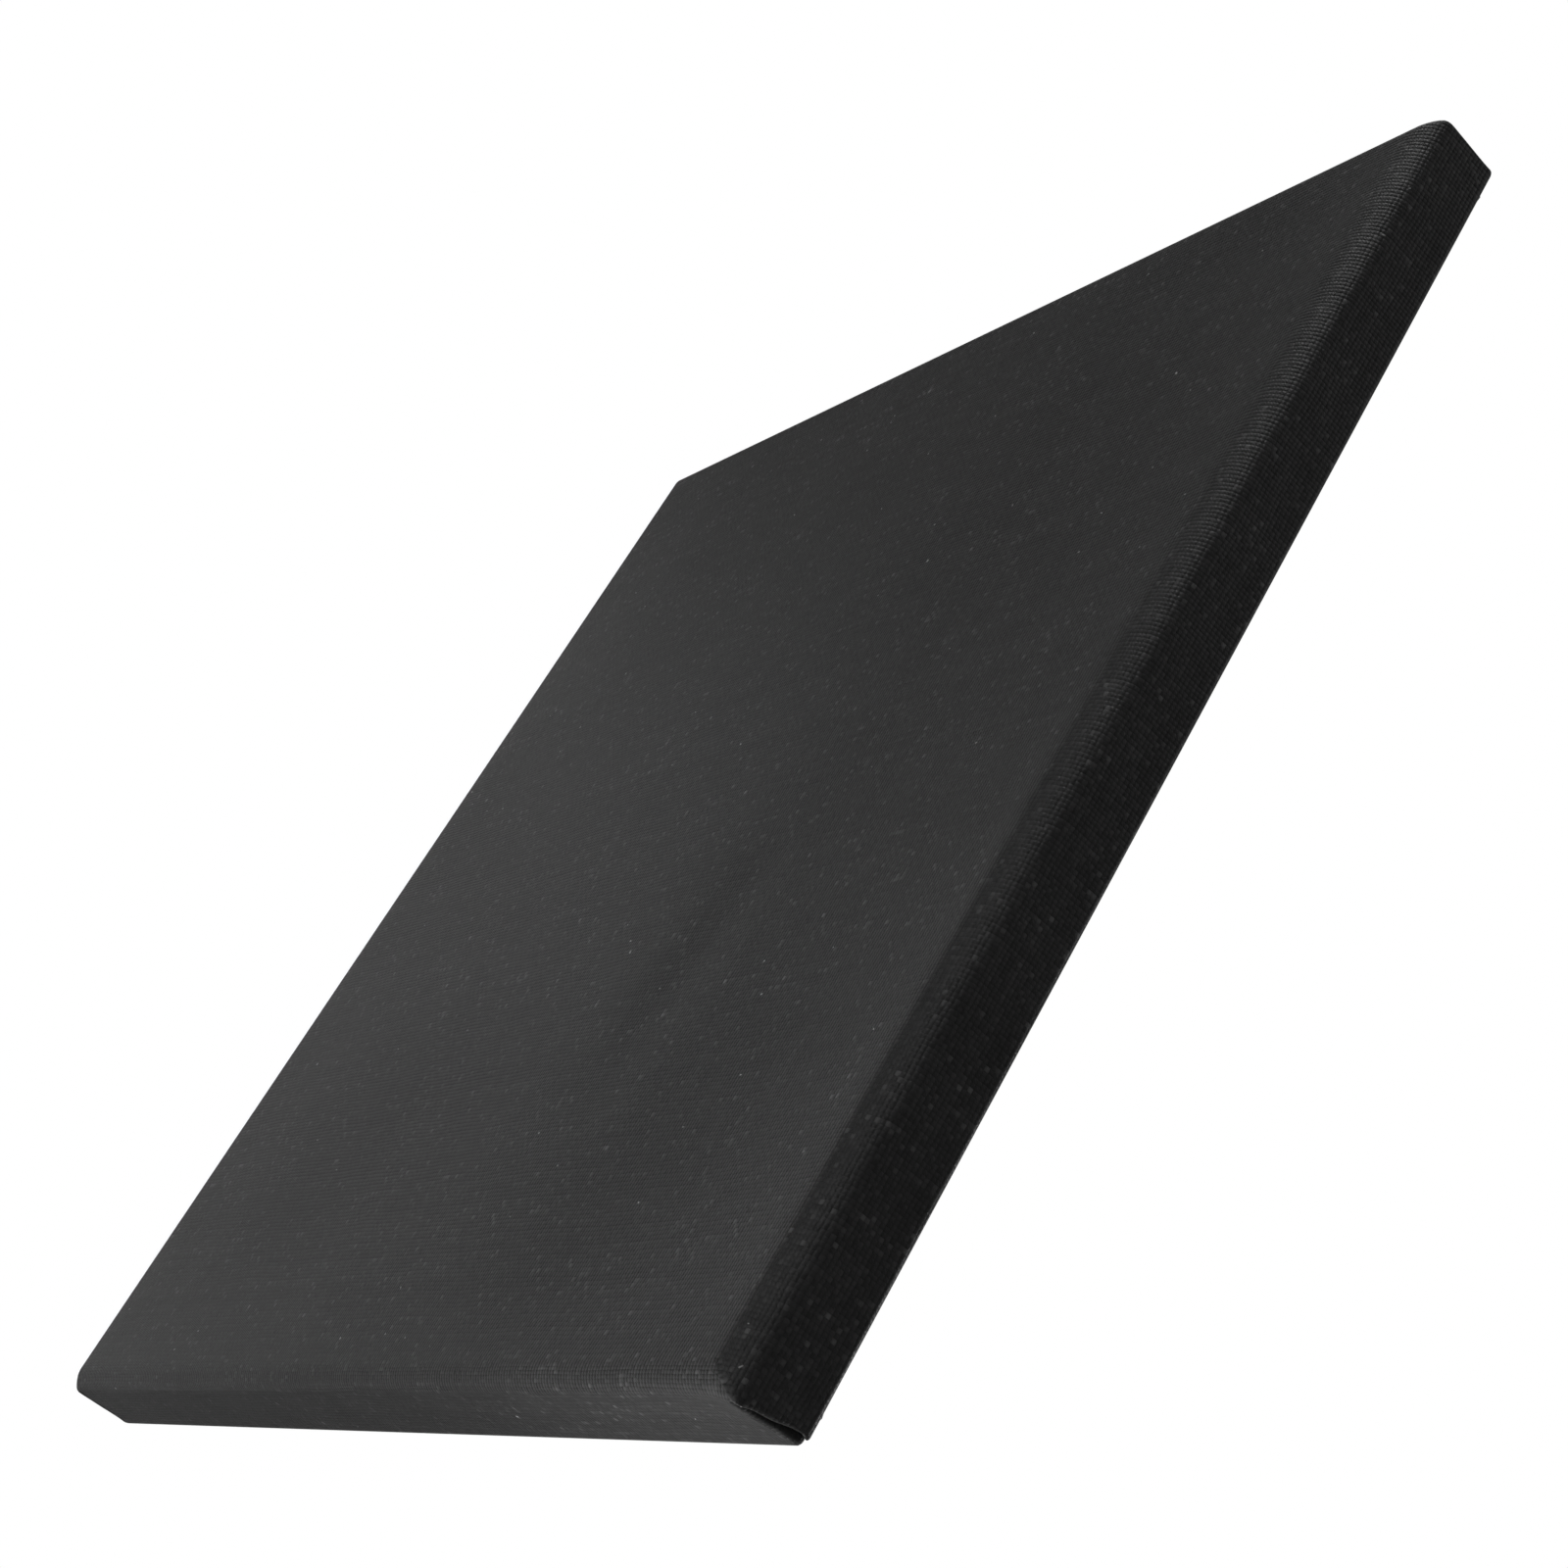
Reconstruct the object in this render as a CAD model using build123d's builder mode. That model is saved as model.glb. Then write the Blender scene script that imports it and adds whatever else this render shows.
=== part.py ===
"""Wall punch pad: a square plywood board faced with two sheets of foam, wrapped in canvas that is
stapled behind, and hung on two keyhole plates with rubber bumpers between it and the wall.

Millimetres. X is the pad's width, Z is up and +Y runs into the wall. The origin is the middle of
the pad on the wall's plane, Y = 0, and the punching face looks along -Y. A sketch's height is its
distance from the wall, so a positive extrusion grows towards the punching face.
"""

from build123d import *

import os

# ---- driving dimensions ----
SIDE = 300.0  # width and height over the canvas
CLOTH = 0.6  # thickness of the canvas
BOARD = 9.0  # thickness of the plywood
FIRM_FOAM = 3.0  # thickness of the foam on the board
SOFT_FOAM = 5.2  # thickness of the foam under the canvas
STANDOFF = 3.2  # the board's distance from the wall
CORNER_RADIUS = 5.0  # rounding of the board's and the foam's corners
FOLDED_RADIUS = 2.0  # rounding of the canvas's corners, which its folded layers fill out
FRONT_RADIUS = 4.6  # rounding of the soft foam's front edges
BACK_OPENING = 244.0  # side of the square of bare board inside the hem
FOLD_SIDE = 27.0  # run of the folded canvas along each edge of the board, from a corner
FOLD_LAYERS = 2  # layers of canvas that a folded corner adds

PLATE_WIDTH = 16.0
PLATE_LENGTH = 45.0
PLATE_THICKNESS = 1.5
PLATE_BEVEL = 0.3
PLATE_CLEARANCE = 0.2  # gap round a plate in its recess
PLATE_X = 75.0  # a plate's distance from the middle of the pad
PLATE_Z = 90.0  # height of the plates' middles
ENTRY_RADIUS = 4.75  # hole that passes the head of a wall screw
ENTRY_DROP = 4.0  # the entry's centre below the plate's middle
SLOT_WIDTH = 5.0  # slot that holds the shank of a wall screw
SLOT_RUN = 11.0  # from the entry's centre up to the centre of the slot's end
POCKET_WIDTH = 12.0  # room behind the plate for the head of a wall screw
POCKET_DEPTH = 6.0  # the pocket's floor below the board's back

SCREW_OFFSET = 17.5  # a plate screw's distance from the plate's middle
SCREW_LENGTH = 8.0
SHANK_RADIUS = 1.3
SHANK_CLEARANCE = 0.2  # gap round the shank in the plate
HEAD_RADIUS = 2.9
HEAD_HEIGHT = 1.4
HEAD_TAPER = 45.0
POINT_LENGTH = 2.0
POINT_TAPER = 30.0
CROSS_LENGTH = 3.4
CROSS_WIDTH = 0.8
CROSS_DEPTH = 0.8

STAPLE_CROWN = 11.0
STAPLE_LEG = 6.0
STAPLE_WIRE = 0.6  # thickness of the wire in the plane of the staple
STAPLE_WIDTH = 0.9  # width of the wire across that plane
STAPLE_BEND = 0.5
STAPLE_POINT = 0.4
STAPLES_PER_SIDE = 7
STAPLE_PITCH = 33.0
STAPLE_INSET = 13.0  # from the board's edge in to a row of staples
CORNER_STAPLE_SHIFT = 3.5  # from the mitre fold to the corner staple beside it

BUMPER_RADIUS = 6.0
BUMPER_PLACE = 104.0  # a corner bumper's distance from the middle, across and up
CENTRE_BUMPER_RADIUS = 12.0
BUMPER_TAPER = 12.0
BUMPER_ROUNDING = 0.5

# ---- heights and sizes that follow ----
BOARD_SIDE = SIDE - 2 * CLOTH
BOARD_FRONT = STANDOFF + BOARD
FOAM_JOIN = BOARD_FRONT + FIRM_FOAM
FOAM_FRONT = FOAM_JOIN + SOFT_FOAM
PAD_FRONT = FOAM_FRONT + CLOTH
HEM_BACK = STANDOFF - CLOTH
FOLD_BACK = HEM_BACK - FOLD_LAYERS * CLOTH
PLATE_FRONT = STANDOFF + PLATE_THICKNESS
ENTRY_Z = PLATE_Z - ENTRY_DROP
SIDE_TURNS = {"top": 0, "left": 90, "bottom": 180, "right": 270}
PLATE_SIDES = {"left": -PLATE_X, "right": PLATE_X}
SCREW_LEVELS = {"upper": PLATE_Z + SCREW_OFFSET, "lower": PLATE_Z - SCREW_OFFSET}


def across(height, turn=0):
    """The plane parallel to the wall at a height from it, turned about the pad's middle."""
    return Plane.XZ.offset(height).rotated((0, -turn, 0))


def slab(side, corner, back, front, rim=0.0):
    """A square block between two heights, its corners rounded and its front edges rounded by rim."""
    with BuildPart() as block:
        with BuildSketch(across(back)):
            RectangleRounded(side, side, corner)
        extrude(amount=front - back)
        if rim:
            fillet(block.faces().sort_by(Axis.Y)[0].edges(), rim)
    return block


def staples(base, spots):
    """One staple at each spot of a base plane, its crown on that plane along the plane's x."""
    planes = []
    for spot in spots:
        planes.append(Plane(base.from_local_coords(spot), x_dir=base.x_dir, z_dir=base.y_dir))
    with BuildPart() as group:
        with BuildSketch(*planes):
            outline = Rectangle(
                STAPLE_CROWN, STAPLE_LEG + STAPLE_WIRE, align=(Align.CENTER, Align.MAX)
            )
            fillet(outline.vertices().group_by(Axis.Y)[-1], STAPLE_BEND)
            with Locations((0, -STAPLE_WIRE)):
                Rectangle(
                    STAPLE_CROWN - 2 * STAPLE_WIRE,
                    STAPLE_LEG,
                    align=(Align.CENTER, Align.MAX),
                    mode=Mode.SUBTRACT,
                )
        extrude(amount=STAPLE_WIDTH / 2, both=True)
    return group


def plate_screw(x, z):
    """A countersunk wood screw with a cross recess, its head flush with the back of the board."""
    with BuildPart() as screw:
        with BuildSketch(across(STANDOFF)):
            with Locations((x, z)):
                Circle(HEAD_RADIUS)
        extrude(amount=HEAD_HEIGHT, taper=HEAD_TAPER)
        with BuildSketch(across(STANDOFF)):
            with Locations((x, z)):
                Circle(SHANK_RADIUS)
        extrude(amount=SCREW_LENGTH - POINT_LENGTH)
        with BuildSketch(across(STANDOFF + SCREW_LENGTH - POINT_LENGTH)):
            with Locations((x, z)):
                Circle(SHANK_RADIUS)
        extrude(amount=POINT_LENGTH, taper=POINT_TAPER)
        with BuildSketch(across(STANDOFF)):
            with Locations((x, z)):
                Rectangle(CROSS_LENGTH, CROSS_WIDTH)
                Rectangle(CROSS_WIDTH, CROSS_LENGTH)
        extrude(amount=CROSS_DEPTH, mode=Mode.SUBTRACT)
    return screw


def keyhole_plate(x):
    """A flush plate with an entry hole, a slot above it for the screw to climb, and two screw holes."""
    with BuildPart() as plate:
        with BuildSketch(across(STANDOFF)):
            with Locations((x, PLATE_Z)):
                SlotOverall(PLATE_LENGTH, PLATE_WIDTH, rotation=90)
            with Locations((x, ENTRY_Z)):
                Circle(ENTRY_RADIUS, mode=Mode.SUBTRACT)
            with Locations((x, ENTRY_Z + SLOT_RUN / 2)):
                SlotCenterToCenter(SLOT_RUN, SLOT_WIDTH, rotation=90, mode=Mode.SUBTRACT)
            with Locations([(x, z) for z in SCREW_LEVELS.values()]):
                Circle(SHANK_RADIUS + SHANK_CLEARANCE, mode=Mode.SUBTRACT)
        extrude(amount=PLATE_THICKNESS)
        chamfer(plate.faces().sort_by(Axis.Y)[-1].outer_wire().edges(), PLATE_BEVEL)
        with BuildSketch(across(STANDOFF)):
            with Locations([(x, z) for z in SCREW_LEVELS.values()]):
                Circle(HEAD_RADIUS)
        extrude(amount=HEAD_HEIGHT, taper=HEAD_TAPER, mode=Mode.SUBTRACT)
    return plate


def wall_bumper(x, z, radius):
    """A round rubber foot stuck to the board, tapering to its flat contact face on the wall."""
    with BuildPart() as bumper:
        with BuildSketch(across(STANDOFF)):
            with Locations((x, z)):
                Circle(radius)
        extrude(amount=-STANDOFF, taper=BUMPER_TAPER)
        fillet(bumper.faces().sort_by(Axis.Y)[-1].edges(), BUMPER_ROUNDING)
    return bumper


def finish(piece, name):
    """Labels a finished piece and writes its file."""
    piece.part.label = name
    export_step(piece.part, f"parts/{name}.step")


os.makedirs("parts", exist_ok=True)

# ---- fasteners, which the board and the canvas are cut for ----
fasteners = {}
row = BOARD_SIDE / 2 - STAPLE_INSET
first = -STAPLE_PITCH * (STAPLES_PER_SIDE - 1) / 2
side_spots = [(first + STAPLE_PITCH * i, row) for i in range(STAPLES_PER_SIDE)]
for side, turn in SIDE_TURNS.items():
    crown_plane = across(HEM_BACK - STAPLE_WIRE, turn)
    fasteners[f"staples_{side}"] = staples(crown_plane, side_spots)

# One staple holds the folded canvas in each corner. Its crown runs along the pad's diagonal, on the
# left or right hem, which lies over the top or bottom hem.
corner_spots = {45: -CORNER_STAPLE_SHIFT, 135: CORNER_STAPLE_SHIFT}
corner_spots |= {turn + 180: shift for turn, shift in corner_spots.items()}
with BuildPart() as staples_corners:
    for turn, shift in corner_spots.items():
        crown_plane = across(FOLD_BACK - STAPLE_WIRE, turn)
        add(staples(crown_plane, [(row * 2**0.5, shift)]).part)
fasteners["staples_corners"] = staples_corners

for side, x in PLATE_SIDES.items():
    for level, z in SCREW_LEVELS.items():
        fasteners[f"plate_screw_{side}_{level}"] = plate_screw(x, z)

for name, fastener in fasteners.items():
    finish(fastener, name)

# ---- keyhole plates ----
for side, x in PLATE_SIDES.items():
    finish(keyhole_plate(x), f"keyhole_plate_{side}")

# ---- rubber bumpers: one in each corner, and a wide one behind the middle, where punches land ----
for level, z in {"top": BUMPER_PLACE, "bottom": -BUMPER_PLACE}.items():
    for side, x in {"left": -BUMPER_PLACE, "right": BUMPER_PLACE}.items():
        finish(wall_bumper(x, z, BUMPER_RADIUS), f"bumper_{level}_{side}")
finish(wall_bumper(0, 0, CENTRE_BUMPER_RADIUS), "bumper_centre")

# ---- plywood board, with a recess and a deeper pocket for each keyhole plate ----
with BuildPart() as backing_board:
    with BuildSketch(across(STANDOFF)):
        RectangleRounded(BOARD_SIDE, BOARD_SIDE, CORNER_RADIUS)
    extrude(amount=BOARD)
    with BuildSketch(across(STANDOFF)):
        with Locations([(x, PLATE_Z) for x in PLATE_SIDES.values()]):
            SlotOverall(
                PLATE_LENGTH + 2 * PLATE_CLEARANCE, PLATE_WIDTH + 2 * PLATE_CLEARANCE, rotation=90
            )
    extrude(amount=PLATE_THICKNESS, mode=Mode.SUBTRACT)
    with BuildSketch(across(STANDOFF)):
        with Locations([(x, ENTRY_Z + SLOT_RUN / 2) for x in PLATE_SIDES.values()]):
            SlotCenterToCenter(SLOT_RUN, POCKET_WIDTH, rotation=90)
    extrude(amount=POCKET_DEPTH, mode=Mode.SUBTRACT)
    for fastener in fasteners.values():
        add(fastener.part, mode=Mode.SUBTRACT)
finish(backing_board, "backing_board")

# ---- the two sheets of foam ----
finish(slab(BOARD_SIDE, CORNER_RADIUS, BOARD_FRONT, FOAM_JOIN), "firm_foam")
finish(slab(BOARD_SIDE, CORNER_RADIUS, FOAM_JOIN, FOAM_FRONT, FRONT_RADIUS), "soft_foam")

# ---- canvas: a shell over the front and the sides, with a hem and mitred corners behind ----
outside = slab(SIDE, FOLDED_RADIUS, HEM_BACK, PAD_FRONT, FRONT_RADIUS + CLOTH)
inside = slab(BOARD_SIDE, CORNER_RADIUS, STANDOFF, FOAM_FRONT, FRONT_RADIUS)
fold_edge = SIDE / 2 - (1 - 0.5**0.5) * FOLDED_RADIUS  # where the diagonal leaves the hem
fold_start = BOARD_SIDE / 2 - FOLD_SIDE
with BuildPart() as fabric_cover:
    add(outside.part)
    with BuildSketch(across(HEM_BACK)):
        Polygon(
            (fold_start, fold_start), (fold_edge, fold_start), (fold_edge, fold_edge), align=None
        )
        mirror(about=Plane.YZ)
        mirror(about=Plane.XZ)
    extrude(amount=FOLD_BACK - HEM_BACK)
    add(inside.part, mode=Mode.SUBTRACT)
    with BuildSketch(across(FOLD_BACK)):
        Rectangle(BACK_OPENING, BACK_OPENING)
    extrude(amount=STANDOFF - FOLD_BACK, mode=Mode.SUBTRACT)
    for fastener in fasteners.values():
        add(fastener.part, mode=Mode.SUBTRACT)
finish(fabric_cover, "fabric_cover")
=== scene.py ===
"""Looks of the wall punch pad: the canvas cover with its folded corners, the foam under it, and the
materials of the board, fasteners and bumpers, with the camera, the lights and the floor."""

import math

import bpy
import numpy as np
from mathutils import Matrix, Vector


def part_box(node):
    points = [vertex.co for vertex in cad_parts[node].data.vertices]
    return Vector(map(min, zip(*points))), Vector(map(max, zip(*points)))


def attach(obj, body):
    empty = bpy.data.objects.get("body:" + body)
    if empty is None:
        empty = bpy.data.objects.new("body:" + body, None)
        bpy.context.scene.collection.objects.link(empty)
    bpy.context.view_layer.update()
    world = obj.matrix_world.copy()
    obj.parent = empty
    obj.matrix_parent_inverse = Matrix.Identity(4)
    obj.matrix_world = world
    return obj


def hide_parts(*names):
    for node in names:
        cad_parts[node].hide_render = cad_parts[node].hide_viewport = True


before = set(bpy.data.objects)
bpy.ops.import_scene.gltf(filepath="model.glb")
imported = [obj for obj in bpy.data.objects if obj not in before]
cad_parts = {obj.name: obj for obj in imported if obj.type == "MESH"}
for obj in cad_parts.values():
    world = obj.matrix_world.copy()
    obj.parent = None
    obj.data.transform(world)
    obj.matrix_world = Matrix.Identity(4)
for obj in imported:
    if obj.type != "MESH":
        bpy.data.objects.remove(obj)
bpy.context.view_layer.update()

# ---- sizes in millimetres, from the CAD nodes; height is the distance from the wall, along -Y ----
MM = 0.001
cover_low, cover_high = (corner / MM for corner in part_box("fabric_cover"))
_, board_high = (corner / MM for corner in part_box("backing_board"))
firm_low, firm_high = (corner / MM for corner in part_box("firm_foam"))
_, soft_high = (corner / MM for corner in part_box("soft_foam"))
HALF = cover_high.x
PAD_FRONT = -cover_low.y
CLOTH_ROOM = cover_high.x - board_high.x  # what the CAD leaves for the canvas
HEM_BACK = -board_high.y - CLOTH_ROOM
FOLD_RISE = HEM_BACK + cover_high.y  # how far a folded corner stands off the hem

CLOTH = 0.5  # thickness of the canvas
HEM_WIDTH = 28.0
ROUNDING = {  # of each front edge: how far in over the face, and how far back over the side
    "left": (4.0, 3.5),
    "right": (8.0, 5.0),
    "bottom": (5.0, 4.0),
    "top": (4.5, 3.5),
}
ROUNDING_DEPTH = max(depth for _, depth in ROUNDING.values())
BACK_ROUNDING = 1.3
CORNER_ROUNDING = 2.0  # of a corner's edge near the front
CREASE_ROUNDING = 0.55  # of the same edge where it is the crease of a fold
CORNER_RUN = 6.0  # how far a corner's own points reach along each side
SIDES = {(0, -1): "bottom", (1, 0): "right", (0, 1): "top", (-1, 0): "left"}


def smooth(value, start, end):
    """0 before start, 1 after end, and a smooth step between."""
    t = np.clip((value - start) / (end - start), 0.0, 1.0)
    return t * t * (3 - 2 * t)


def add_mesh(name, points, faces):
    """A mesh object from points in millimetres."""
    mesh = bpy.data.meshes.new(name)
    mesh.from_pydata((np.asarray(points) * MM).tolist(), [], faces)
    mesh.update()
    mesh.shade_smooth()
    made = bpy.data.objects.new(name, mesh)
    bpy.context.scene.collection.objects.link(made)
    return made


# ---- the canvas cover ----
# A ring is one closed line of cloth round the pad. The rings go over the front edge, down the
# sides, round the back edge and in over the hem. A ring has a run of points along each side, and
# a set of points in each corner, where the top and bottom sides fold in behind the left and right
# sides.
EDGE_RINGS, SIDE_RINGS, BACK_RINGS, HEM_RINGS = 12, 22, 5, 17
RUN_POINTS = 100
LIP, INNER, TURN, OUTER, CREASE, STRAIGHT = 8, 4, 6, 4, 12, 4  # steps in the parts of a corner
GAP = 0.15  # between the two folded-in layers where the pleat is closed
LIP_ROUNDING = 0.9
LEAST_SLOPE = 0.3  # keeps the inner layer short where it starts to turn
POINTS_APART = 0.06  # between a corner's points where there is no pleat yet

# The folded corners. A pair is the start and the end of a change, in depth behind the front.
CREASE_SHARPENS = (0.8, 3.6)
PLEAT_FORMS = (3.0, 4.8)
PLEAT_DEPTH = 0.8
CREASE_STEPS = ((0.6, 3.2, 7.5), (0.7, 10.0, 17.0), (-0.6, 16.5, 18.4))  # rise, start, end
MOUTH_START, MOUTH_LENGTH = 2.5, 16.5
HANG_STARTS, HANG_ENDS = (0.8, 3.6), (4.0, 16.0)
HANG_REACH, HANG_HEIGHT = 7.0, 2.6  # along the end side, and up the outer side

# The hem's corners.
HEM_SETTLED = 6.0  # inset behind at which the mitre has taken over from the fold
TUCK_START, TUCK_MOST = 2.0, 5.0  # inset behind where the tuck starts, and its width
MITRE_FLATTENS = (7.0, 16.0)  # distance from the corner over which the hem comes down
MITRE_LOW = 0.2  # height of the tucked layer, as a share of the outer one's
MITRE_SHORT, MITRE_START, MITRE_SWING = 0.3, 0.5, 0.35  # of the mitre's rounded edge

# The face. A dent is its depth, its centre in X and Z, its half-widths and its lean.
DENTS = ((0.50, (47.0, -53.0), (12.0, 32.0), 0.2), (0.30, (-60.0, 50.0), (70.0, 55.0), 0.0))
DENTS_FADE = (120.0, 146.0)  # distance from the middle
RIPPLE = 0.14
DISH, DISH_PLACE = 1.25, 95.0  # a wide hollow beside the right edge: its depth and its X
DISH_LEFT, DISH_RIGHT = 42.0, 46.0  # how far it reaches each way
DISH_FADES = (126.0, 148.0)  # distance above and below the middle

# The sides. Between two staples the canvas is pulled in a little less.
SCALLOP, STAPLE_PITCH = 0.08, 33.0
SCALLOPS_FADE = (120.0, 140.0)  # distance from the middle of a side


def corner_line(fold, round_corner, crease, mouth, depth):
    """The cloth's outer line round a corner, as (up from the end side, in from the outer side).

    It is walked from the outer side: down, round the corner's edge, into the pleat, back out of
    it and over the lip onto the end side. fold goes from 0, a plain rounded corner, to 1, a full
    pleat; crease is the height of the outer layer's edge, mouth the opening of the pleat and
    depth how deep it goes.
    """
    place = np.array([CORNER_RUN, 0.0])
    heading = 0.0  # 0 is down the outer side, 90 in along the end side, 180 back up
    line = []

    def straight(length, count):
        nonlocal place
        step = np.array([-math.cos(math.radians(heading)), math.sin(math.radians(heading))])
        for share in np.linspace(0, 1, count + 1)[1:]:
            line.append(place + step * length * share)
        place = place + step * length

    def bend(radius, turn, count, slack=0.0):
        nonlocal place, heading
        for _ in range(count):
            middle = math.radians(heading + turn / count / 2)
            chord = 2 * radius * math.sin(math.radians(abs(turn) / count / 2)) + slack
            place = place + chord * np.array([-math.cos(middle), math.sin(middle)])
            heading += turn / count
            line.append(place)

    turned = 90 * fold
    slack = POINTS_APART * (1 - fold)
    straight(CORNER_RUN - round_corner - crease, STRAIGHT)
    bend(round_corner, 90 + turned, CREASE)
    straight(depth * fold + slack * OUTER, OUTER)
    bend((GAP + mouth) / 2, -2 * turned, TURN, slack)
    drop = place[0] - LIP_ROUNDING * (1 - math.cos(math.radians(turned)))
    steepness = max(math.sin(math.radians(turned)), LEAST_SLOPE)
    straight(max(drop, 0.0) / steepness + slack * INNER, INNER)
    bend(LIP_ROUNDING, 90 - heading, LIP, slack)
    out = place[0] * np.linspace(0, 1, INNER + LIP + 1)[1:]
    line[-INNER - LIP:] = [point - (extra, 0) for point, extra in zip(line[-INNER - LIP:], out)]
    end = line[-1][1]
    rest = np.linspace(end, max(CORNER_RUN, end + 1), STRAIGHT + 2)[1:-1]
    line += [np.array([0.0, b]) for b in rest]
    return np.array(line[::-1])


CORNER_POINTS = len(corner_line(1.0, 1.0, 0.0, 0.0, 1.0))
FOLDED_IN = STRAIGHT + LIP + INNER + TURN // 2  # points that belong to the end side


def mitre_line(rise, tuck, reach):
    """The cloth's line at a corner of the hem, as (up, in, off the board).

    It has the same points as corner_line: the end side's hem goes tuck beyond the diagonal, and
    the outer side's lies over it.
    """
    low = MITRE_LOW * rise
    line = [(0.0, b, 0.0) for b in np.linspace(reach, 0.0, STRAIGHT + LIP + 1)[1:]]
    line += [(0.0, b, 0.0) for b in np.linspace(0.0, -tuck, INNER + 1)[1:]]
    line += [(0.0, -tuck, n) for n in np.linspace(0.0, low, TURN + 1)[1:]]
    line += [(0.0, b, low) for b in np.linspace(-tuck, -MITRE_SHORT, OUTER + 1)[1:]]
    for t in np.radians(np.linspace(0, 180, CREASE + 1))[1:]:
        swing = math.sin(t) * MITRE_SWING
        turned = (1 - math.cos(t)) / 2
        up = MITRE_START * turned - swing * 0.5
        inward = swing - MITRE_SHORT * (1 - turned)
        line.append((up, inward, rise * (MITRE_LOW + (1 - MITRE_LOW) * turned)))
    line += [(a, 0.0, rise) for a in np.linspace(MITRE_START, reach, STRAIGHT + 1)[1:]]
    return np.array(line)


def rings():
    """Each ring as (depth behind the front, inset behind the back edge, 1 on the hem or 0)."""
    made = []
    for t in np.radians(np.linspace(0, 90, EDGE_RINGS + 1)):
        made.append((ROUNDING_DEPTH * (1 - math.cos(t)), 0.0, 0.0))
    side_end = PAD_FRONT - HEM_BACK - BACK_ROUNDING
    depths = np.linspace(ROUNDING_DEPTH, side_end, SIDE_RINGS + 1)[1:]
    made += [(deep, 0.0, 0.0) for deep in depths]
    for t in np.radians(np.linspace(0, 90, BACK_RINGS + 1))[1:]:
        deep = side_end + BACK_ROUNDING * math.sin(t)
        made.append((deep, BACK_ROUNDING * (1 - math.cos(t)), 0.0))
    insets = np.linspace(BACK_ROUNDING, HEM_WIDTH, HEM_RINGS + 1)[1:]
    made += [(PAD_FRONT - HEM_BACK, inset, 1.0) for inset in insets]
    return made


def inset_of(side, ring):
    """How far in from its plane a side is at a ring."""
    deep, behind, _ = ring
    width, depth = ROUNDING[side]
    if deep < depth:
        return width * (1 - math.sqrt(1 - (1 - deep / depth) ** 2))
    return behind


CORNERS = {  # sides of the pad, how far the fold gapes, and how far it hangs past the end side
    "bottom_right": (1, -1, 1.2, 1.4),
    "top_right": (1, 1, 0.12, 0.5),
    "top_left": (-1, 1, 0.25, 0.6),
    "bottom_left": (-1, -1, 0.15, 0.4),
}


def hang(most, deep, inward):
    """How far the cloth of an end side hangs out beside a fold."""
    beside = most * np.exp(-((inward / HANG_REACH) ** 2))
    return beside * smooth(deep, *HANG_STARTS) * (1 - smooth(deep, *HANG_ENDS))


def corner_points(corner, ring, travelled):
    """A ring's points in one corner and their places on the flat cloth.

    They go from the end side, which is the top or the bottom, to the outer side.
    """
    side_x, side_z, gape, hanging = CORNERS[corner]
    deep, behind, on_hem = ring
    outer, end = SIDES[side_x, 0], SIDES[0, side_z]
    grown = 1 - inset_of(outer, ring) / ROUNDING[outer][0] if deep < ROUNDING_DEPTH else 1.0
    fold = float(smooth(deep, *PLEAT_FORMS))
    sharp = float(smooth(deep, *CREASE_SHARPENS))
    round_corner = CORNER_ROUNDING + (CREASE_ROUNDING - CORNER_ROUNDING) * sharp
    crease = sum(rise * smooth(deep, start, end) for rise, start, end in CREASE_STEPS)
    crease = gape * float(crease)
    mouth = gape * math.sin(math.pi * min(max((deep - MOUTH_START) / MOUTH_LENGTH, 0), 1))
    line = corner_line(fold, round_corner, crease, mouth, PLEAT_DEPTH)
    flat = np.column_stack([line, np.zeros(len(line))])
    flat[:, :2] *= grown
    if on_hem:
        share = float(smooth(behind, BACK_ROUNDING, HEM_SETTLED))
        tuck = min(max(behind - TUCK_START, 0.0), TUCK_MOST)
        hem = mitre_line(FOLD_RISE, tuck, CORNER_RUN)
        flat = flat * (1 - share) + hem * share
    up, inward, off = flat.T
    low = hang(hanging, deep, inward) * np.exp(-((up / HANG_HEIGHT) ** 2))
    x = side_x * (HALF - inset_of(outer, ring) - inward)
    z = side_z * (HALF - inset_of(end, ring) - up + low)
    points = np.column_stack([x, deep - PAD_FRONT + off, z])
    cloth = np.column_stack([x, z, np.zeros_like(x)])
    pleat = slice(STRAIGHT + LIP - 2, STRAIGHT + LIP + INNER + TURN + OUTER + CREASE - 2)
    # the pleat's points are marked so that the canvas's colour is darkened there as painted shade
    cloth[pleat, 2] = fold * (1 - smooth(behind, 0.0, BACK_ROUNDING))
    cloth[:FOLDED_IN, 1] = side_z * (HALF - ROUNDING[end][0] + travelled)
    cloth[FOLDED_IN:, 0] = side_x * (HALF - ROUNDING[outer][0] + travelled)
    return points, cloth, CORNER_RUN * grown


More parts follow.
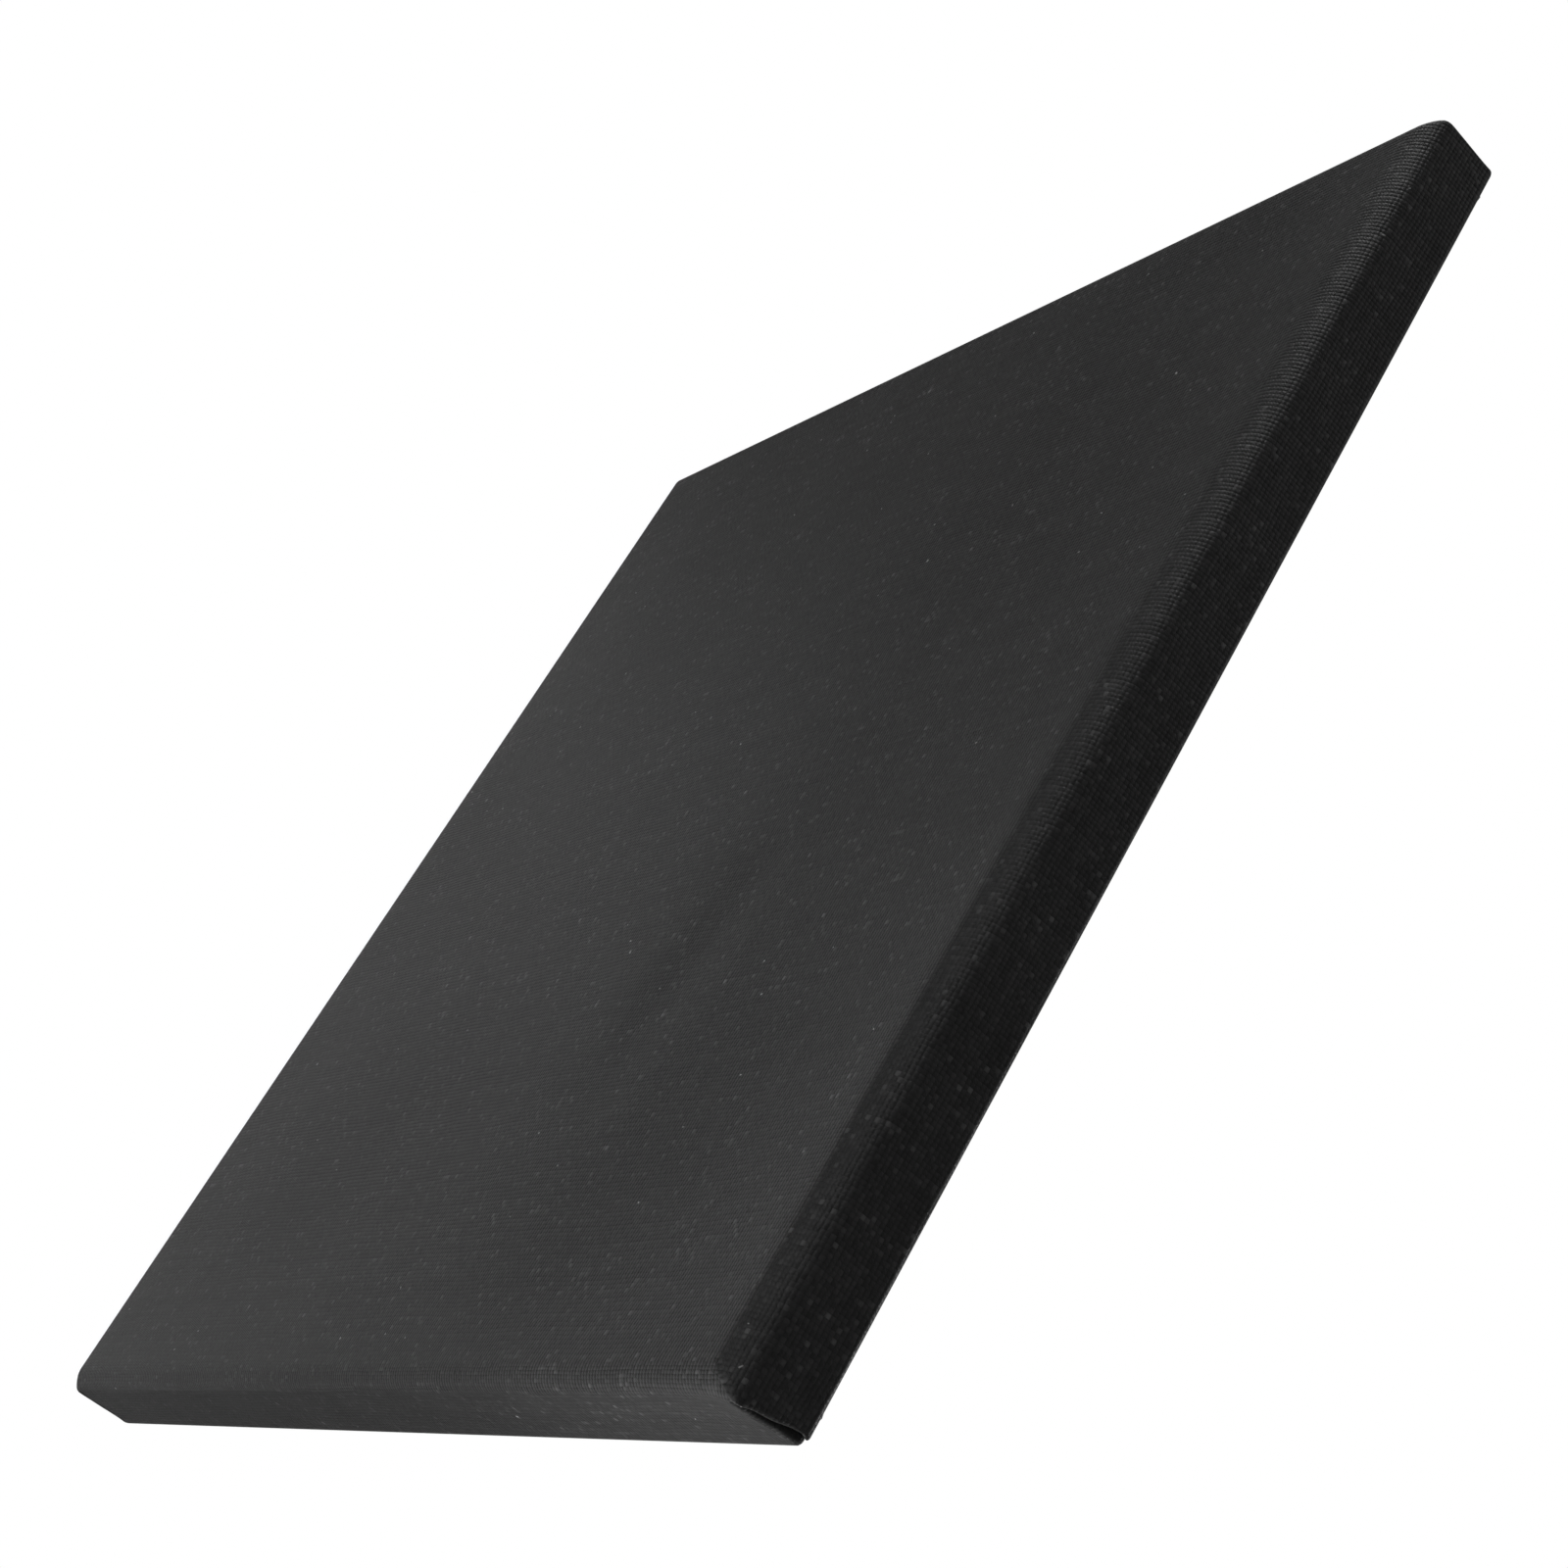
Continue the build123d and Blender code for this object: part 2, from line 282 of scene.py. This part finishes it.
def run_points(side, ring, travelled, reach_before, reach_after):
    """A ring's points along one side, in the direction that goes round the pad anticlockwise."""
    side_x, side_z = side
    deep, behind, on_hem = ring
    onward = (-side_z, side_x)  # the direction of travel
    ends = []
    for sign, reach in ((-1, reach_before), (1, reach_after)):
        neighbour = SIDES[sign * onward[0], sign * onward[1]]
        ends.append(sign * (HALF - inset_of(neighbour, ring) - reach))
    along = np.linspace(ends[0], ends[1], RUN_POINTS + 1)
    across = HALF - inset_of(SIDES[side], ring)
    from_end = HALF - behind - np.abs(along)
    off = np.zeros_like(along)
    if side_x:
        raised = FOLD_RISE * on_hem * smooth(behind, BACK_ROUNDING, HEM_SETTLED)
        off += raised * (1 - smooth(from_end, *MITRE_FLATTENS))
    x = onward[0] * along + side_x * across
    z = onward[1] * along + side_z * across
    if side_z:
        for corner_x, corner_z, _, hanging in CORNERS.values():
            if corner_z == side_z:
                z = z + side_z * hang(hanging, deep, HALF - x * corner_x)
    edge = HALF - ROUNDING[SIDES[side]][0] + travelled
    cloth_x = x if side_z else np.full_like(x, side_x * edge)
    cloth_z = z if side_x else np.full_like(z, side_z * edge)
    cloth = np.column_stack([cloth_x, cloth_z, np.zeros_like(x)])
    return np.column_stack([x, deep - PAD_FRONT + off, z]), cloth


def hollow(x, z, deepest, centre, size, lean):
    """The depth of a smooth dent in the face at each point."""
    over, up = x - centre[0], z - centre[1]
    across, along = (over - lean * up) / size[0], (up + lean * over) / size[1]
    return deepest * np.exp(-(along**2) - across**2)


def settle(points):
    """Moves points of the pad as the stretched canvas and the soft foam under it lie."""
    x, y, z = points.T
    height = -y
    front = smooth(height, PAD_FRONT - 7.0, PAD_FRONT - 0.5)
    side = smooth(height, 4.5, 8.0) * (1 - smooth(height, PAD_FRONT - 5.0, PAD_FRONT - 1.0))
    depth = sum(hollow(x, z, *dent) for dent in DENTS)
    depth += RIPPLE * np.sin(x / 23.0 + 0.6 * np.sin(z / 31.0)) * np.sin(z / 27.0 + 1.3)
    depth *= (1 - smooth(np.abs(x), *DENTS_FADE)) * (1 - smooth(np.abs(z), *DENTS_FADE))
    right = np.clip(1 - ((x - DISH_PLACE) / DISH_RIGHT) ** 2, 0, 1)
    left = np.exp(-(((x - DISH_PLACE) / DISH_LEFT) ** 2))
    dish = DISH * np.where(x > DISH_PLACE, right, left)
    dish *= 1 - smooth(np.abs(z), *DISH_FADES)
    moved = points.copy()
    moved[:, 1] += front * (depth + dish)
    for axis, other, shift in ((0, 2, 9.0), (2, 0, 4.0)):
        across, along = points[:, axis], points[:, other]
        pull = SCALLOP * side * (1 + np.cos((along + shift) * 2 * math.pi / STAPLE_PITCH))
        pull = np.sign(across) * pull * smooth(np.abs(across), HALF - 3, HALF)
        moved[:, axis] -= pull * (1 - smooth(np.abs(along), *SCALLOPS_FADE))
    return moved


def cover():
    """The canvas as one sheet.

    Its attribute "cloth" holds each point's place on the flat cloth, and in its third part how
    deep the point lies in a pleat, which the canvas's colour darkens as painted shade.
    """
    sequence = rings()
    points, cloth, faces = [], [], []
    span = {side: HALF - width for side, (width, _) in ROUNDING.items()}
    places_x = np.linspace(-span["left"], span["right"], RUN_POINTS + 1)
    places_z = np.linspace(-span["bottom"], span["top"], RUN_POINTS + 1)
    grid_x, grid_z = np.meshgrid(places_x, places_z, indexing="ij")
    count = RUN_POINTS + 1
    grid = np.column_stack([grid_x.ravel(), np.full(count * count, -PAD_FRONT), grid_z.ravel()])
    points.append(grid)
    cloth.append(grid[:, [0, 2, 2]] * (1, 1, 0))
    for i in range(RUN_POINTS):
        for j in range(RUN_POINTS):
            a = i * count + j
            faces.append((a, a + count, a + count + 1, a + 1))
    last = RUN_POINTS
    inner = [i * count for i in range(count)]
    inner += [last * count] * CORNER_POINTS
    inner += [last * count + j for j in range(count)]
    inner += [last * count + last] * CORNER_POINTS
    inner += [(last - i) * count + last for i in range(count)]
    inner += [last] * CORNER_POINTS
    inner += [last - j for j in range(count)]
    inner += [0] * CORNER_POINTS
    start = count * count
    travelled = 0.0
    for before, ring in zip(sequence, sequence[1:]):
        inward = inset_of("right", ring) - inset_of("right", before)
        travelled += math.hypot(ring[0] - before[0], inward)
        corners = {name: corner_points(name, ring, travelled) for name in CORNERS}
        ring_points, ring_cloth = [], []
        names = list(CORNERS)
        for place, side in enumerate(SIDES):
            points_here, cloth_here, reach = corners[names[place]]
            run, run_cloth = run_points(side, ring, travelled, corners[names[place - 1]][2], reach)
            if side[0]:  # a left or right side comes up to a corner from its outer layer
                points_here, cloth_here = points_here[::-1], cloth_here[::-1]
            ring_points += [run, points_here]
            ring_cloth += [run_cloth, cloth_here]
        points.append(np.vstack(ring_points))
        cloth.append(np.vstack(ring_cloth))
        size = len(points[-1])
        outer = list(range(start, start + size))
        for i in range(size):
            j = (i + 1) % size
            if inner[i] == inner[j]:
                faces.append((inner[i], outer[i], outer[j]))
            else:
                faces.append((inner[i], outer[i], outer[j], inner[j]))
        inner = outer
        start += size
    made = add_mesh("canvas_cover", settle(np.vstack(points)), faces)
    cloth = np.vstack(cloth) * MM
    attribute = made.data.attributes.new("cloth", "FLOAT_VECTOR", "POINT")
    attribute.data.foreach_set("vector", cloth.ravel())
    thick = made.modifiers.new("thickness", "SOLIDIFY")
    thick.thickness = CLOTH * MM
    thick.offset = -1.0
    return made


FOAM_STEPS = 60  # points along a side of a foam sheet, and rings over its front
FOAM_CORNER = 6.0  # rounding of a foam sheet's corners
FOAM_ARC, FOAM_EDGE = 8, 7  # steps round a corner, and over the front edge


def foam_sheet(name, half, back, front, rounding, depth):
    """A sheet of foam: rings of a rounded square, from its back over the rounded front edge to the
    middle of its front."""
    flat = half - FOAM_CORNER
    outline = []
    for first in (-90, 0, 90, 180):
        turns = np.radians(np.linspace(first, first + 90, FOAM_ARC + 1))
        arc = [(math.cos(t), math.sin(t)) for t in turns]
        centre = (flat if first in (-90, 0) else -flat, flat if first in (0, 90) else -flat)
        outline += [(centre[0], centre[1], across, up) for across, up in arc]
        across, up = (round(part) for part in arc[-1])
        run = np.linspace(1, -1, FOAM_STEPS + 1)[1:-1]
        outline += [
            (centre[0] * (step if up else 1), centre[1] * (step if across else 1), across, up)
            for step in run
        ]
    outline = np.array(outline)
    profile = [(0.4, back), (0.1, back + 0.3)]  # the back edge, a little eased
    steps = np.radians(np.linspace(0, 90, FOAM_EDGE + 1))
    profile += [(rounding * (1 - math.cos(t)), front - depth * (1 - math.sin(t))) for t in steps]
    rows = []
    for inset, height in profile:
        x, z = (outline[:, :2] + outline[:, 2:] * (FOAM_CORNER - inset)).T
        rows.append(np.column_stack([x, np.full_like(x, -height), z]))
    rim = rows[-1]
    rows += [rim * (share, 1, share) for share in np.linspace(1, 0.01, FOAM_STEPS)[1:]]
    size = len(outline)
    faces = []
    for k in range(len(rows) - 1):
        for i in range(size):
            j = (i + 1) % size
            faces.append((k * size + i, k * size + j, (k + 1) * size + j, (k + 1) * size + i))
    faces.append(tuple(range(size))[::-1])
    faces.append(tuple((len(rows) - 1) * size + i for i in range(size)))
    return add_mesh(name, settle(np.vstack(rows)), faces)


# ---- materials ----
FLOOR_SEEN, FLOOR_LIGHT = 0.8, 0.16  # brightness of the floor to the camera, and of its bounce
BACKGROUND_SEEN, BACKGROUND_LIGHT = 1.0, 0.0
THREADS = 1000.0  # per metre of canvas
THREAD_WANDER = 0.0016
CANVAS_TONE = 0.042
PLEAT_PAINTED_SHADE = -700.0  # painted shade that darkens the canvas inside the pleats; the attribute's third part is in metres
LINT_CELLS = 300.0
LINT_FOLD = (HALF * MM, -0.011, -0.142)  # the place on the fold that catches most lint


class Value:
    """A shader socket that arithmetic can be written with."""

    def __init__(self, tree, socket):
        self.tree = tree
        self.socket = socket

    def math(self, operation, *others):
        node = self.tree.nodes.new("ShaderNodeMath")
        node.operation = operation
        for place, value in enumerate((self, *others)):
            join(self.tree, value, node.inputs[place])
        return Value(self.tree, node.outputs[0])

    def __add__(self, other):
        return self.math("ADD", other)

    def __sub__(self, other):
        return self.math("SUBTRACT", other)

    def __mul__(self, other):
        return self.math("MULTIPLY", other)

    def ramp(self, start, end, low=0.0, high=1.0):
        """Maps start..end smoothly to low..high."""
        node = self.tree.nodes.new("ShaderNodeMapRange")
        node.interpolation_type = "SMOOTHSTEP"
        join(self.tree, self, node.inputs["Value"])
        ends = {"From Min": start, "From Max": end, "To Min": low, "To Max": high}
        for name, value in ends.items():
            node.inputs[name].default_value = value
        return Value(self.tree, node.outputs["Result"])


def join(tree, value, socket):
    """Links a socket, or sets a number or a colour."""
    if isinstance(value, Value):
        tree.links.new(value.socket, socket)
    else:
        socket.default_value = value


class Surface:
    """A node material with one Principled shader."""

    def __init__(self, name, **settings):
        self.material = bpy.data.materials.new(name)
        self.material.use_nodes = True
        self.tree = self.material.node_tree
        self.shader = self.tree.nodes["Principled BSDF"]
        self.set(**settings)

    def set(self, **settings):
        for name, value in settings.items():
            join(self.tree, value, self.shader.inputs[name.replace("_", " ")])

    def node(self, kind, output=0, settings=None, **inputs):
        node = self.tree.nodes.new("ShaderNode" + kind)
        for name, value in (settings or {}).items():
            setattr(node, name, value)
        for name, value in inputs.items():
            join(self.tree, value, node.inputs[name.replace("_", " ")])
        return Value(self.tree, node.outputs[output])

    def parts(self, vector):
        node = self.tree.nodes.new("ShaderNodeSeparateXYZ")
        join(self.tree, vector, node.inputs[0])
        return [Value(self.tree, socket) for socket in node.outputs]

    def vector(self, x=0.0, y=0.0, z=0.0):
        node = self.tree.nodes.new("ShaderNodeCombineXYZ")
        for value, socket in zip((x, y, z), node.inputs):
            join(self.tree, value, socket)
        return Value(self.tree, node.outputs[0])

    def noise(self, vector, scale, detail=2.0, roughness=0.5):
        return self.node("TexNoise", Vector=vector, Scale=scale, Detail=detail, Roughness=roughness)

    def mixed(self, share, first, second):
        node = self.tree.nodes.new("ShaderNodeMix")
        node.data_type = "RGBA"
        join(self.tree, share, node.inputs[0])
        join(self.tree, first, node.inputs[6])
        join(self.tree, second, node.inputs[7])
        return Value(self.tree, node.outputs[2])

    def vector_math(self, operation, first, second, output=0):
        node = self.tree.nodes.new("ShaderNodeVectorMath")
        node.operation = operation
        join(self.tree, first, node.inputs[0])
        join(self.tree, second, node.inputs["Scale" if operation == "SCALE" else 1])
        return Value(self.tree, node.outputs[output])

    def bump(self, height, distance):
        node = self.tree.nodes.new("ShaderNodeBump")
        join(self.tree, height, node.inputs["Height"])
        node.inputs["Distance"].default_value = distance
        self.tree.links.new(node.outputs[0], self.shader.inputs["Normal"])


def grey(level, warmth=0.0):
    return (level * (1 + warmth), level, level * (1 - warmth), 1.0)


def lint(surface, place):
    """Specks of lint, from 0 to 1: a few everywhere, and many caught at the bottom right fold."""
    wander = surface.node("TexNoise", output=1, Vector=place, Scale=900.0, Detail=1.0)
    crooked = surface.vector_math("ADD", place, surface.vector_math("SCALE", wander, 0.0012))
    speck = surface.node("TexVoronoi", Vector=crooked, Scale=LINT_CELLS, Randomness=1.0)
    cell = surface.node("TexVoronoi", output=1, Vector=crooked, Scale=LINT_CELLS, Randomness=1.0)
    apart = surface.vector_math("DISTANCE", place, LINT_FOLD, output=1)
    chance = surface.parts(cell)[0] + apart.ramp(0.007, 0.014, 0.5, 0.0)
    return speck.ramp(0.10, 0.05) * chance.math("GREATER_THAN", 0.93)


def canvas_material():
    """Charcoal plain-weave cotton canvas: one thread a millimetre each way, slubs and lint, with
    painted shade between the threads and inside the pleats.
    """
    surface = Surface("charcoal_canvas", Roughness=0.55, Specular_IOR_Level=0.5)
    surface.set(Sheen_Weight=0.12, Sheen_Roughness=0.5)
    cloth = surface.node("Attribute", output=1, settings={"attribute_name": "cloth"})
    place = surface.node("TexCoord", output=3)
    drift = surface.noise(cloth, 45.0, detail=3.0)
    drift_side = surface.noise(cloth, 38.0, detail=3.0)
    u, v, pleat_shade = surface.parts(cloth)
    u = (u + (drift - 0.5) * THREAD_WANDER) * THREADS
    v = (v + (drift_side - 0.5) * THREAD_WANDER) * THREADS
    warp = u.math("FLOOR")
    weft = v.math("FLOOR")
    across = u - warp - 0.5
    along = v - weft - 0.5
    over = (warp + weft).math("FLOORED_MODULO", 2.0) * 2.0 - 1.0
    warp_turn = surface.node("TexWhiteNoise", settings={"noise_dimensions": "1D"}, W=warp)
    weft_turn = surface.node("TexWhiteNoise", settings={"noise_dimensions": "1D"}, W=weft + 431.7)
    warp_fat = surface.noise(surface.vector(warp * 3.7, v * 0.07, 0.0), 1.0, detail=2.0)
    weft_fat = surface.noise(surface.vector(u * 0.07, weft * 3.7, 9.0), 1.0, detail=2.0)
    warp_wave = over * (along * math.pi).math("COSINE") * 0.4
    weft_wave = over * (across * math.pi).math("COSINE") * -0.4
    warp_top = warp_wave - across * across * 1.5 + (warp_fat - 0.5) * 0.9
    weft_top = weft_wave - along * along * 1.5 + (weft_fat - 0.5) * 0.9
    height = warp_top.math("MAXIMUM", weft_top)
    on_weft = weft_top.math("GREATER_THAN", warp_top)
    twist = ((u + v) * 9.0).math("SINE") * 0.04
    fuzz = surface.noise(place, 2600.0, detail=2.0)
    surface.bump(height + twist + fuzz * 0.5, 0.0002)
    tone = warp_turn.ramp(0.0, 1.0, 0.80, 1.16) * (on_weft * -1.0 + 1.0)
    tone = tone + weft_turn.ramp(0.0, 1.0, 0.78, 1.20) * on_weft
    slub = surface.noise(surface.vector(u * 0.11, weft * 7.3, 4.0), 1.0, detail=1.0)
    slub = slub.ramp(0.62, 0.74) * on_weft
    fleck = surface.node("TexWhiteNoise", Vector=surface.vector(warp, weft, over))
    tone = tone * fleck.ramp(0.0, 1.0, 0.78, 1.22) * (fleck.ramp(0.94, 1.0) * 1.3 + 1.0)
    # painted shade: the colour is darker where the weave is low, between the threads
    tone = tone * height.ramp(-0.4, 0.5, 0.55, 1.12) * (slub * 0.9 + 1.0)
    cloud = surface.noise(place, 14.0, detail=4.0).ramp(0.3, 0.7, 0.93, 1.07)
    # painted shade: the canvas is darkened inside the corner pleats
    tone = tone * cloud * (pleat_shade * PLEAT_PAINTED_SHADE + 1.0)
    # the canvas's dye colour, together with the painted shade of the weave and the pleats
    dye_and_shade = surface.vector(tone * CANVAS_TONE, tone * 0.0418, tone * CANVAS_TONE)
    surface.set(Base_Color=surface.mixed(lint(surface, place), dye_and_shade, grey(0.75)))
    return surface.material


def foam_material(name, level, cell):
    """Fine-celled foam rubber, with painted shade in the hollows of its cells."""
    surface = Surface(name, Roughness=0.85)
    place = surface.node("TexCoord", output=3)
    cells = surface.node("TexVoronoi", Vector=place, Scale=cell, Randomness=1.0)
    clouds = surface.noise(place, 60.0, detail=3.0)
    surface.bump(cells, 0.0004)
    # painted shade: the colour is darker in the cells' hollows, where the bump sinks the surface
    shade = cells.ramp(0.0, 0.7, 0.55, 1.1) * clouds.ramp(0.3, 0.7, 0.9, 1.1) * level
    surface.set(Base_Color=surface.vector(shade, shade, shade * 0.97))
    return surface.material


def plywood_material():
    """Birch plywood: long grain, a wavy figure and dark pores."""
    surface = Surface("birch_plywood", Roughness=0.6, Specular_IOR_Level=0.35)
    place = surface.node("TexCoord", output=3)
    x, y, z = surface.parts(place)
    waves = surface.noise(surface.vector(x * 9.0, y * 9.0, z * 1.2), 1.0, detail=2.0)
    threads = surface.vector(x * 260.0 + waves * 14.0, y * 40.0, z * 7.0)
    grain = surface.noise(threads, 1.0, detail=5.0)
    pores = surface.noise(surface.vector(x * 1500.0, y * 200.0, z * 60.0), 1.0, detail=2.0)
    flames = surface.vector(x * 30.0 + waves * 3.0, y * 3.0, z * 2.4)
    figure = surface.noise(flames, 1.0, detail=3.0)
    light = surface.mixed(grain.ramp(0.35, 0.68), (0.62, 0.43, 0.25, 1), (0.46, 0.29, 0.15, 1))
    flamed = surface.mixed(figure.ramp(0.4, 0.7, 0.0, 0.45), light, (0.70, 0.52, 0.33, 1))
    dotted = surface.mixed(pores.ramp(0.66, 0.75, 0.0, 0.5), flamed, (0.25, 0.14, 0.07, 1))
    surface.set(Base_Color=dotted, Roughness=grain.ramp(0.3, 0.7, 0.52, 0.7))
    surface.bump(grain * 0.6 - pores.ramp(0.66, 0.75), 0.00012)
    return surface.material


def metal_material(name, colour, scratch, roughness):
    """Plated steel with fine rolling lines, a mottled plating and faint stains."""
    surface = Surface(name, Metallic=1.0)
    place = surface.node("TexCoord", output=3)
    x, y, z = surface.parts(place)
    lines = surface.noise(surface.vector(x * 4000.0, y * 900.0, z * 60.0), 1.0, detail=3.0)
    mottle = surface.noise(place, 420.0, detail=4.0)
    stain = surface.noise(place, 90.0, detail=3.0).ramp(0.55, 0.75, 0.0, 0.35)
    dark = tuple(part * 0.55 for part in colour[:3]) + (1.0,)
    base = surface.mixed(mottle.ramp(0.35, 0.7, 0.0, 0.4) + stain, colour, dark)
    surface.set(Base_Color=base, Roughness=(lines * scratch + mottle * 0.15 + roughness))
    surface.bump(lines + mottle * 0.5, 0.00003)
    return surface.material


def rubber_material():
    """Moulded black rubber with a faint grain and a dusty bloom."""
    surface = Surface("bumper_rubber", Specular_IOR_Level=0.4)
    place = surface.node("TexCoord", output=3)
    grain = surface.noise(place, 1800.0, detail=3.0)
    bloom = surface.noise(place, 130.0, detail=4.0)
    base = surface.mixed(bloom.ramp(0.45, 0.75, 0.0, 0.6), grey(0.022), grey(0.055, 0.04))
    surface.set(Base_Color=base, Roughness=bloom.ramp(0.3, 0.7, 0.6, 0.82))
    surface.bump(grain, 0.00008)
    return surface.material


def camera_or(tree, seen, lighting):
    """A brightness as the camera sees it, and as it lights the object."""
    path = tree.nodes.new("ShaderNodeLightPath")
    pick = tree.nodes.new("ShaderNodeMapRange")
    tree.links.new(path.outputs["Is Camera Ray"], pick.inputs["Value"])
    pick.inputs["To Min"].default_value = lighting
    pick.inputs["To Max"].default_value = seen
    return pick.outputs["Result"]


def floor_material():
    """Pale studio floor, lit from within so that its bounce is even."""
    material = bpy.data.materials.new("studio_floor")
    material.use_nodes = True
    tree = material.node_tree
    tree.nodes.remove(tree.nodes["Principled BSDF"])
    glow = tree.nodes.new("ShaderNodeEmission")
    glow.inputs["Color"].default_value = (1, 1, 1, 1)
    strength = camera_or(tree, FLOOR_SEEN, FLOOR_LIGHT)
    tree.links.new(strength, glow.inputs["Strength"])
    tree.links.new(glow.outputs[0], tree.nodes["Material Output"].inputs["Surface"])
    return material


def dress(piece, material):
    """Gives every material slot of a piece the same material."""
    if not piece.data.materials:
        piece.data.materials.append(material)
    for place in range(len(piece.data.materials)):
        piece.data.materials[place] = material


# ---- pieces that replace soft CAD solids ----
canvas = cover()
dress(canvas, canvas_material())
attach(canvas, "root")
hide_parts("fabric_cover")

inner_half = HALF - CLOTH_ROOM
soft = foam_sheet(
    "soft_foam_sheet", inner_half, -soft_high.y, PAD_FRONT - CLOTH_ROOM, 10.0, ROUNDING_DEPTH
)
dress(soft, foam_material("soft_black_foam", 0.035, 900.0))
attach(soft, "root")
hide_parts("soft_foam")

firm_front = -firm_low.y - 0.05  # just short of the soft foam
firm = foam_sheet("firm_foam_sheet", inner_half, -firm_high.y, firm_front, 0.3, 0.3)
dress(firm, foam_material("firm_grey_foam", 0.12, 1300.0))
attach(firm, "root")
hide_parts("firm_foam")

# ---- materials of the CAD nodes that stay ----
zinc = (0.52, 0.53, 0.55, 1.0)
brass = (0.62, 0.50, 0.28, 1.0)
cad_materials = {
    "backing_board": plywood_material(),
    "staples": metal_material("staple_steel", (0.60, 0.60, 0.61, 1.0), 0.2, 0.28),
    "keyhole_plate": metal_material("zinc_plate", zinc, 0.35, 0.25),
    "plate_screw": metal_material("yellow_zinc_screw", brass, 0.2, 0.22),
    "bumper": rubber_material(),
}
for name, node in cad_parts.items():
    for start, material in cad_materials.items():
        if name.startswith(start):
            dress(node, material)

# ---- camera, floor and light ----
CAMERA_PLACE = (0.56444, -0.23188, -0.28894)
CAMERA_AIM = (-0.82843, 0.33321, 0.4502)
CAMERA_ROLL = 31.485
LENS, SENSOR = 70.16, 36.0
FLOOR_HEIGHT, FLOOR_RADIUS = -0.45, 4.0

scene = bpy.context.scene
scene.view_settings.view_transform = "Standard"
scene.view_settings.look = "None"

camera = bpy.data.objects.new("camera", bpy.data.cameras.new("camera"))
scene.collection.objects.link(camera)
camera.data.lens = LENS
camera.data.sensor_width = SENSOR
camera.data.clip_start = 0.01
forward = Vector(CAMERA_AIM).normalized()
level = forward.cross(Vector((0, 0, 1))).normalized()
upright = level.cross(forward)
roll = math.radians(CAMERA_ROLL)
up = upright * math.cos(roll) - level * math.sin(roll)
right = forward.cross(up)
turn = Matrix((right, up, -forward)).transposed().to_4x4()
camera.matrix_world = Matrix.Translation(CAMERA_PLACE) @ turn
scene.camera = camera


def soft_light(name, place, size, power, aim=(0.0, -0.01, 0.0)):
    """A square softbox aimed at a point."""
    data = bpy.data.lights.new(name, "AREA")
    data.shape = "SQUARE"
    data.size = size
    data.energy = power
    made = bpy.data.objects.new(name, data)
    scene.collection.objects.link(made)
    made.location = place
    made.visible_camera = False
    made.rotation_mode = "QUATERNION"
    made.rotation_quaternion = (Vector(aim) - Vector(place)).to_track_quat("-Z", "Y")


soft_light("low_left", (-1.3, 0.0, -0.11), 0.5, 2.3)
soft_light("high_left", (-1.22, 0.0, 0.44), 0.5, 1.6)
soft_light("front", (0.0, -1.3, -0.11), 0.5, 2.5)
soft_light("overhead", (0.0, -0.44, 1.22), 0.5, 3.7)
soft_light("right", (1.3, 0.0, -0.11), 0.5, 0.3)
soft_light("rim_right", (0.65, 0.65, 0.92), 0.5, 0.75)
soft_light("under_corner", (0.11, -0.02, -0.24), 0.05, 0.045, aim=(0.13, -0.01, -0.15))
soft_light("back_fill", (0.0, 1.3, 0.0), 0.5, 6.0)

bpy.ops.mesh.primitive_circle_add(
    vertices=96, radius=FLOOR_RADIUS, fill_type="NGON", location=(0, 0, FLOOR_HEIGHT)
)
floor = bpy.context.object
floor.name = "floor"
dress(floor, floor_material())

world = bpy.data.worlds.new("studio")
scene.world = world
world.use_nodes = True
background = world.node_tree.nodes["Background"]
background.inputs["Color"].default_value = (1, 1, 1, 1)
brightness = camera_or(world.node_tree, BACKGROUND_SEEN, BACKGROUND_LIGHT)
world.node_tree.links.new(brightness, background.inputs["Strength"])
